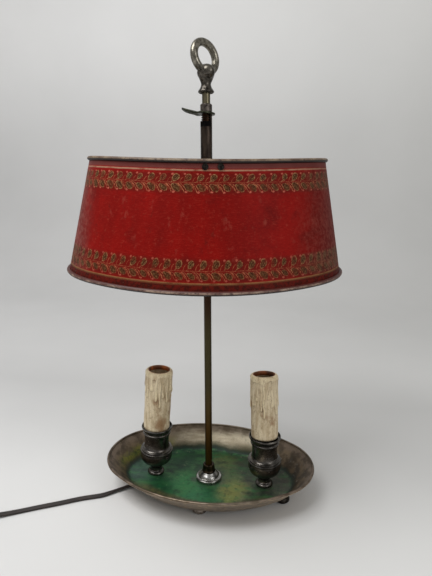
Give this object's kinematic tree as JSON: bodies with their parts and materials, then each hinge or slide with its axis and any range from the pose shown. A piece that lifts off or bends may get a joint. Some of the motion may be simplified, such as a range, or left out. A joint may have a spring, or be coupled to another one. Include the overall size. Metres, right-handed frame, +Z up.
{
  "type": "bouillotte lamp",
  "caption": "Table lamp with an oval tray base on small feet, candle-style lights, and an oval metal shade that slides and turns on a central stem.",
  "frame": {"origin": "on the surface that the lamp stands on, under the middle of the lamp without its cord, which is the stem's axis", "axes": "+Z up along the stem, +X along the tray's long way to the right light, -Y to the tray's front"},
  "size_m": [0.4531, 0.2456, 0.4181],
  "materials": {
    "pewter": "worn satin, verdigris inside",
    "brass": "aged satin",
    "bronze": "dark patina",
    "chrome": "polished",
    "gunmetal": "dark satin",
    "candle": "aged wax drips",
    "red_paint": "hand-painted, semi-gloss",
    "bead": "worn",
    "screws": "dark",
    "phenolic": "satin",
    "cord": "matte",
    "tie": "matte"
  },
  "bodies": {
    "base": {"tray": "pewter", "tray_roll": "pewter", "foot_1": "pewter", "foot_2": "pewter", "foot_3": "pewter", "foot_4": "pewter", "foot_5": "pewter", "stem_rod": "brass", "stem_washer": "brass", "stem_nut": "brass", "cord_clip": "brass", "plug_pins": "brass", "left_cup_nut": "brass", "left_nipple": "brass", "left_washer": "brass", "left_nut": "brass", "left_screw_shell": "brass", "left_contact": "brass", "right_cup_nut": "brass", "right_nipple": "brass", "right_washer": "brass", "right_nut": "brass", "right_screw_shell": "brass", "right_contact": "brass", "stem_collar": "bronze", "finial": "bronze", "stem_flange": "chrome", "left_pedestal": "gunmetal", "right_pedestal": "gunmetal", "left_cup": "gunmetal", "right_cup": "gunmetal", "left_cover": "candle", "right_cover": "candle", "left_lampholder": "phenolic", "right_lampholder": "phenolic", "switch_body": "phenolic", "plug_body": "phenolic", "cord_tube": "cord", "cord_link": "cord", "cord_coil": "cord", "cord_tail": "cord", "left_lead": "cord", "right_lead": "cord", "strain_relief": "cord", "coil_tie": "tie"},
    "liner": {"sleeve_liner": "phenolic"},
    "carriage": {"shade": "red_paint", "shade_top_bead": "bead", "shade_bottom_bead": "bead", "shade_strap": "brass", "shade_screw_1": "screws", "shade_screw_2": "screws", "shade_screw_3": "screws", "shade_screw_4": "screws", "slide_sleeve": "brass", "sleeve_cap": "brass", "grip_washer": "phenolic", "lever_spring": "brass"},
    "lever": {"lever": "bronze"},
    "rocker": {"switch_rocker": "phenolic"}
  },
  "joints": [
    {"name": "shade_height", "type": "slide", "parent": "base", "child": "liner", "axis": [0, 0, 1], "range_m": [-0.17, 0.008]},
    {"name": "shade_turn", "type": "hinge", "parent": "liner", "child": "carriage", "pos_m": [0, 0, 0.32], "axis": [0, 0, 1], "continuous": true},
    {"name": "lever_press", "type": "hinge", "parent": "carriage", "child": "lever", "pos_m": [0.00421, 0.00089, 0.3572], "axis": [0.2079, -0.9781, 0], "range_deg": [0, 5], "stiffness_Nm_per_rad": 0.05, "springref_deg": -5.73, "deforming": ["lever_spring"]},
    {"name": "switch_rock", "type": "hinge", "parent": "base", "child": "rocker", "pos_m": [-0.2168, -0.1069, 0.0115], "axis": [-0.506, 0.8625, 0], "range_deg": [0, 16]}
  ]
}
